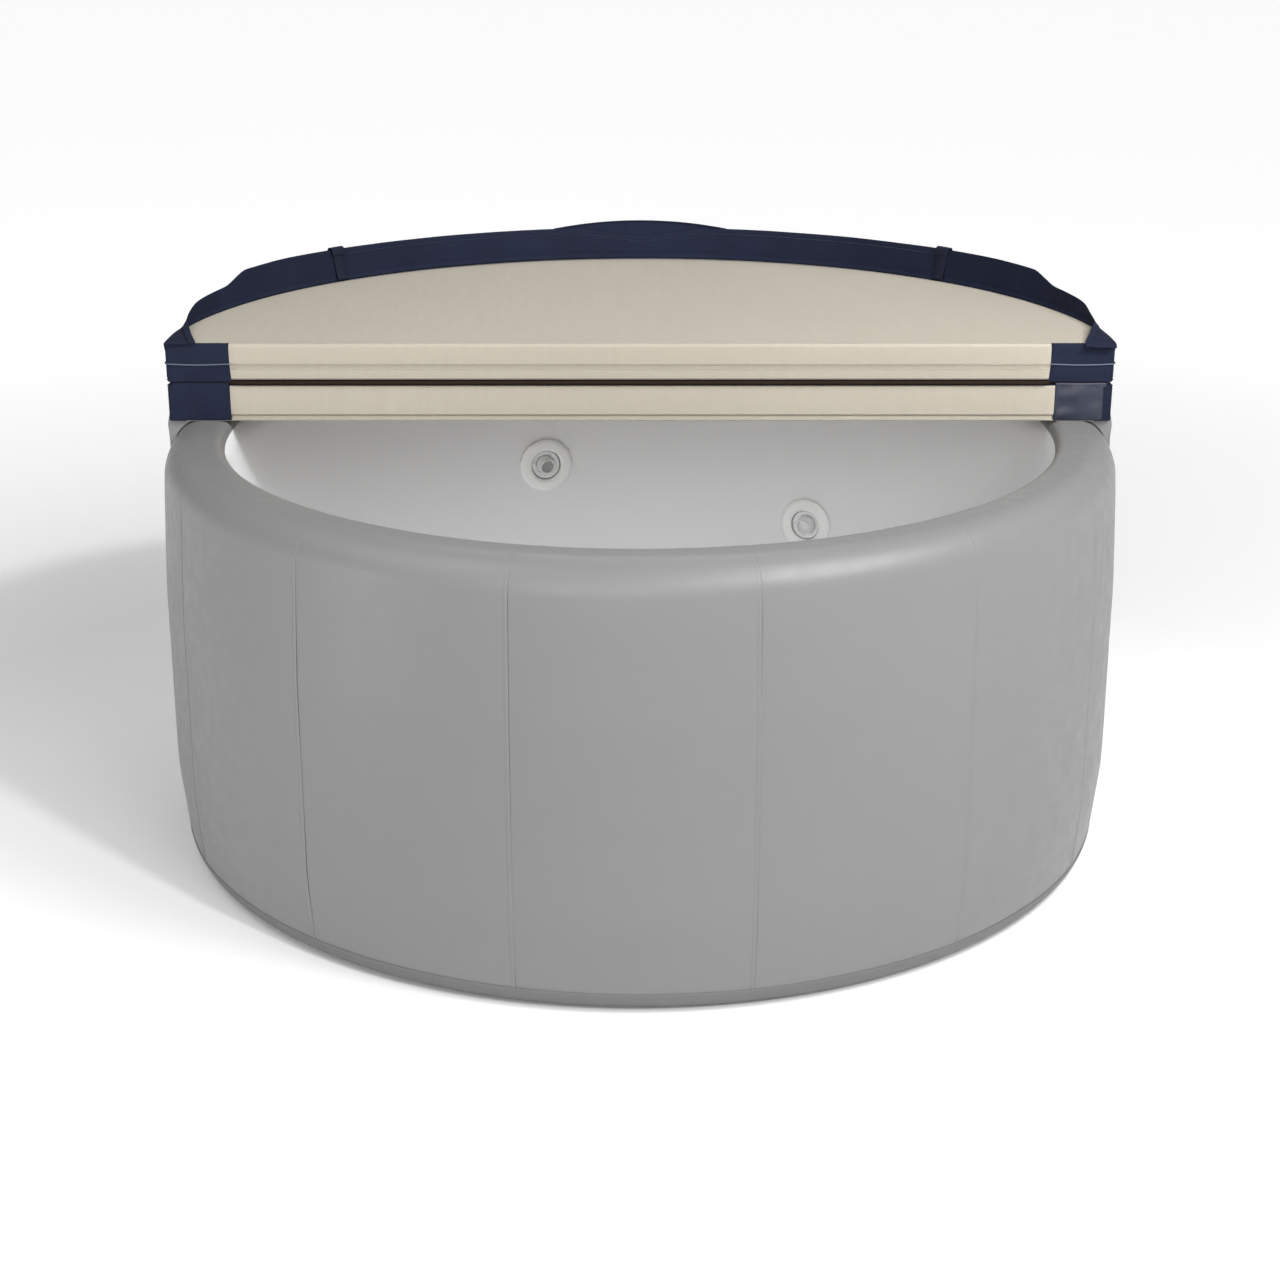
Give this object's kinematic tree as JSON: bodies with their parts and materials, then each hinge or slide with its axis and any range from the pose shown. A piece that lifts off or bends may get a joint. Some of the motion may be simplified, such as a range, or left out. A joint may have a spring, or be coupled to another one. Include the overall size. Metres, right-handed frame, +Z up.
{
  "type": "soft-sided hot tub",
  "caption": "Round foam-walled hot tub with aimable wall jets, a pull-out filter, a drain and an insulated folding cover.",
  "frame": {"origin": "on the floor at the tub's axis", "axes": "+Z up along the tub's axis; -Y towards the open front half; +X to the right seen from the front"},
  "size_m": [1.5154, 1.5089, 0.848],
  "materials": {
    "outer_vinyl": "satin",
    "base_vinyl": "satin",
    "liner_vinyl": "satin",
    "foam": "matte",
    "jet_plastic": "satin",
    "nozzle_plastic": "satin",
    "pipe_plastic": "satin",
    "seal_rubber": "matte",
    "port_plastic": "satin",
    "filter_cloth": "matte",
    "navy_vinyl": "satin",
    "beige_lining": "matte",
    "grey_skirt": "satin",
    "webbing": "matte"
  },
  "bodies": {
    "tub": {"jacket_panel_01": "outer_vinyl", "jacket_panel_02": "outer_vinyl", "jacket_panel_03": "outer_vinyl", "jacket_panel_04": "outer_vinyl", "jacket_panel_05": "outer_vinyl", "jacket_panel_06": "outer_vinyl", "jacket_panel_07": "outer_vinyl", "jacket_panel_08": "outer_vinyl", "jacket_panel_09": "outer_vinyl", "jacket_panel_10": "outer_vinyl", "jacket_panel_11": "outer_vinyl", "jacket_panel_12": "outer_vinyl", "jacket_panel_13": "outer_vinyl", "jacket_panel_14": "outer_vinyl", "base_skin": "base_vinyl", "wall_foam_staves": "foam", "floor_pad": "foam", "liner_wall": "liner_vinyl", "liner_floor": "liner_vinyl", "jet_1_flange": "jet_plastic", "jet_2_flange": "jet_plastic", "jet_3_flange": "jet_plastic", "jet_4_flange": "jet_plastic", "jet_bodies": "pipe_plastic", "jet_gaskets": "seal_rubber", "jet_lock_nuts": "pipe_plastic", "supply_manifold": "pipe_plastic", "suction_pipe": "pipe_plastic", "suction_fitting": "jet_plastic", "supply_port": "port_plastic", "suction_port": "port_plastic", "drain_body": "port_plastic"},
    "cover_rear": {"rear_core": "foam", "rear_top": "navy_vinyl", "rear_lining": "beige_lining", "rear_corner_patches": "navy_vinyl", "rear_skirt": "grey_skirt", "hinge_strip": "navy_vinyl"},
    "cover_front": {"front_core": "foam", "front_top": "navy_vinyl", "front_lining": "beige_lining", "front_corner_patches": "navy_vinyl", "front_skirt": "navy_vinyl", "front_seam_tape": "beige_lining", "grab_flap": "navy_vinyl", "lifting_loops": "webbing"},
    "flap_left": {"skirt_flap_left": "navy_vinyl"},
    "flap_right": {"skirt_flap_right": "navy_vinyl"},
    "filter": {"filter_cartridge": "filter_cloth", "filter_grille": "jet_plastic"},
    "drain_plug": {"drain_cap": "port_plastic"},
    "jet_1_dial": {"jet_1_ring": "jet_plastic"},
    "jet_1_nozzle": {"jet_1_eyeball": "nozzle_plastic"},
    "jet_2_dial": {"jet_2_ring": "jet_plastic"},
    "jet_2_nozzle": {"jet_2_eyeball": "nozzle_plastic"},
    "jet_3_dial": {"jet_3_ring": "jet_plastic"},
    "jet_3_nozzle": {"jet_3_eyeball": "nozzle_plastic"},
    "jet_4_dial": {"jet_4_ring": "jet_plastic"},
    "jet_4_nozzle": {"jet_4_eyeball": "nozzle_plastic"}
  },
  "joints": [
    {"name": "cover_lift", "type": "slide", "parent": "tub", "child": "cover_rear", "axis": [0, 0, 1], "range_m": [0, 0.3]},
    {"name": "cover_fold", "type": "hinge", "parent": "cover_rear", "child": "cover_front", "pos_m": [0, 0, 0.713], "axis": [1, 0, 0], "range_deg": [0, 180]},
    {"name": "flap_left_turn", "type": "hinge", "parent": "cover_front", "child": "flap_left", "pos_m": [-0.74225, 0.078, 0.778], "axis": [-0.1002, -0.995, 0], "range_deg": [0, 108.5]},
    {"name": "flap_right_turn", "type": "hinge", "parent": "cover_front", "child": "flap_right", "pos_m": [0.74225, 0.078, 0.778], "axis": [-0.1002, 0.995, 0], "range_deg": [0, 108.5]},
    {"name": "filter_pull", "type": "slide", "parent": "tub", "child": "filter", "axis": [-0.0087, -1, 0], "range_m": [0, 0.15]},
    {"name": "drain_cap_pull", "type": "slide", "parent": "tub", "child": "drain_plug", "axis": [-0.766, 0.6428, 0], "range_m": [0, 0.06]},
    {"name": "jet_1_turn", "type": "hinge", "parent": "tub", "child": "jet_1_dial", "pos_m": [-0.17698, 0.62544, 0.407], "axis": [0.2723, -0.9622, 0], "continuous": true},
    {"name": "jet_1_aim", "type": "hinge", "parent": "jet_1_dial", "child": "jet_1_nozzle", "pos_m": [-0.17698, 0.62544, 0.407], "axis": [0.6804, 0.1925, 0.7071], "range_deg": [-20, 4]},
    {"name": "jet_2_turn", "type": "hinge", "parent": "tub", "child": "jet_2_dial", "pos_m": [0.31015, 0.57123, 0.306], "axis": [-0.4772, -0.8788, 0], "continuous": true},
    {"name": "jet_2_aim", "type": "hinge", "parent": "jet_2_dial", "child": "jet_2_nozzle", "pos_m": [0.31015, 0.57123, 0.306], "axis": [0.8655, -0.4699, -0.1736], "range_deg": [-20, 4]},
    {"name": "jet_3_turn", "type": "hinge", "parent": "tub", "child": "jet_3_dial", "pos_m": [0.17698, -0.62544, 0.407], "axis": [-0.2723, 0.9622, 0], "continuous": true},
    {"name": "jet_3_aim", "type": "hinge", "parent": "jet_3_dial", "child": "jet_3_nozzle", "pos_m": [0.17698, -0.62544, 0.407], "axis": [-0.6804, -0.1925, 0.7071], "range_deg": [-20, 4]},
    {"name": "jet_4_turn", "type": "hinge", "parent": "tub", "child": "jet_4_dial", "pos_m": [-0.31015, -0.57123, 0.306], "axis": [0.4772, 0.8788, 0], "continuous": true},
    {"name": "jet_4_aim", "type": "hinge", "parent": "jet_4_dial", "child": "jet_4_nozzle", "pos_m": [-0.31015, -0.57123, 0.306], "axis": [-0.8655, 0.4699, -0.1736], "range_deg": [-20, 4]}
  ],
  "couplings": [
    {"joint": "flap_left_turn", "follows": "cover_fold", "ratio": 0.6},
    {"joint": "flap_right_turn", "follows": "cover_fold", "ratio": 0.6}
  ]
}
